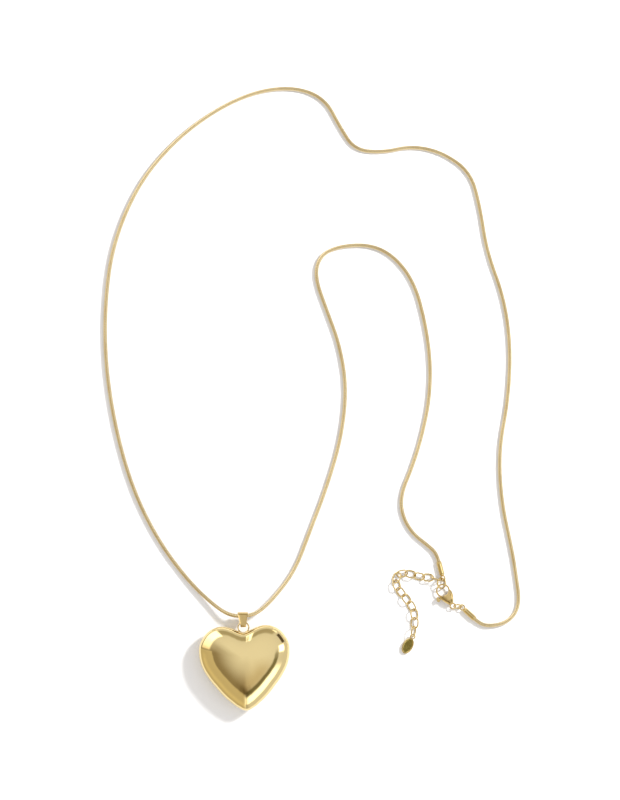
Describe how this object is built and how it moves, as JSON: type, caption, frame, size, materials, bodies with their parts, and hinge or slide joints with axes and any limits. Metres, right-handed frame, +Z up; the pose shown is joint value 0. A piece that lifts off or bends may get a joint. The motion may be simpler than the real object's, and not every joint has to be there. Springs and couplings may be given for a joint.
{
  "type": "pendant necklace",
  "caption": "Gold-coloured snake chain necklace with a puffy heart pendant on a bail, lobster clasp and extender chain, laid out flat.",
  "frame": {"origin": "middle of the small flat on the heart's back, on the table the necklace lies on", "axes": "+Z up from the table through the pendant's face, +Y from the heart towards its bail, +X to the right seen from above"},
  "size_m": [0.1564, 0.2335, 0.01],
  "materials": {
    "chain_gold": "fine ringed snake chain, bright gold plate",
    "polished_gold": "mirror polished gold plate",
    "finding_gold": "bright gold plate on small findings",
    "tag_gold": "gold plate, lightly brushed recess",
    "spring_steel": "drawn spring wire"
  },
  "bodies": {
    "chain": {"snake_chain": "chain_gold", "end_cap_a": "finding_gold", "end_cap_b": "finding_gold"},
    "ring_a": {"jump_ring_a": "finding_gold"},
    "ring_b": {"jump_ring_b": "finding_gold"},
    "clasp": {"clasp_body": "finding_gold", "clasp_rivet": "finding_gold", "clasp_spring": "spring_steel"},
    "lever": {"clasp_lever": "finding_gold"},
    "bail_loop": {"bail": "finding_gold"},
    "heart": {"heart_front_shell": "polished_gold", "heart_back_shell": "polished_gold", "pendant_ring": "finding_gold"},
    "tag": {"end_tag": "tag_gold"},
    "link_01": {"extender_link_01": "finding_gold"},
    "link_02": {"extender_link_02": "finding_gold"},
    "link_03": {"extender_link_03": "finding_gold"},
    "link_04": {"extender_link_04": "finding_gold"},
    "link_05": {"extender_link_05": "finding_gold"},
    "link_06": {"extender_link_06": "finding_gold"},
    "link_07": {"extender_link_07": "finding_gold"},
    "link_08": {"extender_link_08": "finding_gold"},
    "link_09": {"extender_link_09": "finding_gold"},
    "link_10": {"extender_link_10": "finding_gold"},
    "link_11": {"extender_link_11": "finding_gold"},
    "link_12": {"extender_link_12": "finding_gold"},
    "link_13": {"extender_link_13": "finding_gold"}
  },
  "joints": [
    {"name": "ring_a_rock", "type": "hinge", "parent": "chain", "child": "ring_a", "pos_m": [0.07399, 0.02967, 0.00147], "axis": [0.1977, -0.9803, 0], "range_deg": [-3, 1.5]},
    {"name": "ring_b_rock", "type": "hinge", "parent": "chain", "child": "ring_b", "pos_m": [0.08005, 0.02092, 0.00149], "axis": [0.9989, -0.0471, 0], "range_deg": [-2, 1.5]},
    {"name": "clasp_roll", "type": "hinge", "parent": "ring_b", "child": "clasp", "pos_m": [0.07826, 0.02104, 0.0015], "axis": [-0.515, 0.8572, 0], "range_deg": [-4, 3]},
    {"name": "lever_press", "type": "hinge", "parent": "clasp", "child": "lever", "pos_m": [0.07742, 0.02555, 0.0015], "axis": [0, 0, 1], "range_deg": [0, 10], "stiffness_Nm_per_rad": 0.0004},
    {"name": "bail_swing", "type": "hinge", "parent": "chain", "child": "bail_loop", "pos_m": [-0.0004, 0.01757, 0.004], "axis": [1, 0, 0], "range_deg": [-80, 3]},
    {"name": "heart_swing", "type": "hinge", "parent": "bail_loop", "child": "heart", "pos_m": [-0.0001, 0.0154, 0.005], "axis": [1, 0, 0], "range_deg": [-20, 3]},
    {"name": "link_01_swing", "type": "hinge", "parent": "ring_a", "child": "link_01", "pos_m": [0.073, 0.03085, 0.0017], "axis": [0, 0, 1], "range_deg": [-5, 2.5]},
    {"name": "link_02_swing", "type": "hinge", "parent": "link_01", "child": "link_02", "pos_m": [0.07036, 0.03151, 0.00136], "axis": [0, 0, 1], "range_deg": [-9, 4.5]},
    {"name": "link_03_swing", "type": "hinge", "parent": "link_02", "child": "link_03", "pos_m": [0.06731, 0.03196, 0.00102], "axis": [0, 0, 1], "range_deg": [-9, 4.5]},
    {"name": "link_04_swing", "type": "hinge", "parent": "link_03", "child": "link_04", "pos_m": [0.06403, 0.0326, 0.00102], "axis": [0, 0, 1], "range_deg": [-9, 4.5]},
    {"name": "link_05_swing", "type": "hinge", "parent": "link_04", "child": "link_05", "pos_m": [0.06083, 0.03313, 0.00102], "axis": [0, 0, 1], "range_deg": [-9, 4.5]},
    {"name": "link_06_swing", "type": "hinge", "parent": "link_05", "child": "link_06", "pos_m": [0.05826, 0.03245, 0.00102], "axis": [0, 0, 1], "range_deg": [-9, 4.5]},
    {"name": "link_07_swing", "type": "hinge", "parent": "link_06", "child": "link_07", "pos_m": [0.05724, 0.03029, 0.00102], "axis": [0, 0, 1], "range_deg": [-9, 4.5]},
    {"name": "link_08_swing", "type": "hinge", "parent": "link_07", "child": "link_08", "pos_m": [0.05797, 0.02757, 0.00102], "axis": [0, 0, 1], "range_deg": [-9, 4.5]},
    {"name": "link_09_swing", "type": "hinge", "parent": "link_08", "child": "link_09", "pos_m": [0.05981, 0.02498, 0.00102], "axis": [0, 0, 1], "range_deg": [-9, 4.5]},
    {"name": "link_10_swing", "type": "hinge", "parent": "link_09", "child": "link_10", "pos_m": [0.0618, 0.02235, 0.00102], "axis": [0, 0, 1], "range_deg": [-9, 4.5]},
    {"name": "link_11_swing", "type": "hinge", "parent": "link_10", "child": "link_11", "pos_m": [0.06327, 0.01951, 0.00102], "axis": [0, 0, 1], "range_deg": [-9, 4.5]},
    {"name": "link_12_swing", "type": "hinge", "parent": "link_11", "child": "link_12", "pos_m": [0.06388, 0.01639, 0.00102], "axis": [0, 0, 1], "range_deg": [-9, 4.5]},
    {"name": "link_13_swing", "type": "hinge", "parent": "link_12", "child": "link_13", "pos_m": [0.06371, 0.01319, 0.00127], "axis": [0, 0, 1], "range_deg": [-9, 4.5]},
    {"name": "tag_swing", "type": "hinge", "parent": "link_13", "child": "tag", "pos_m": [0.06323, 0.00966, 0.0014], "axis": [0, 0, 1], "range_deg": [-9, 4.5]}
  ]
}
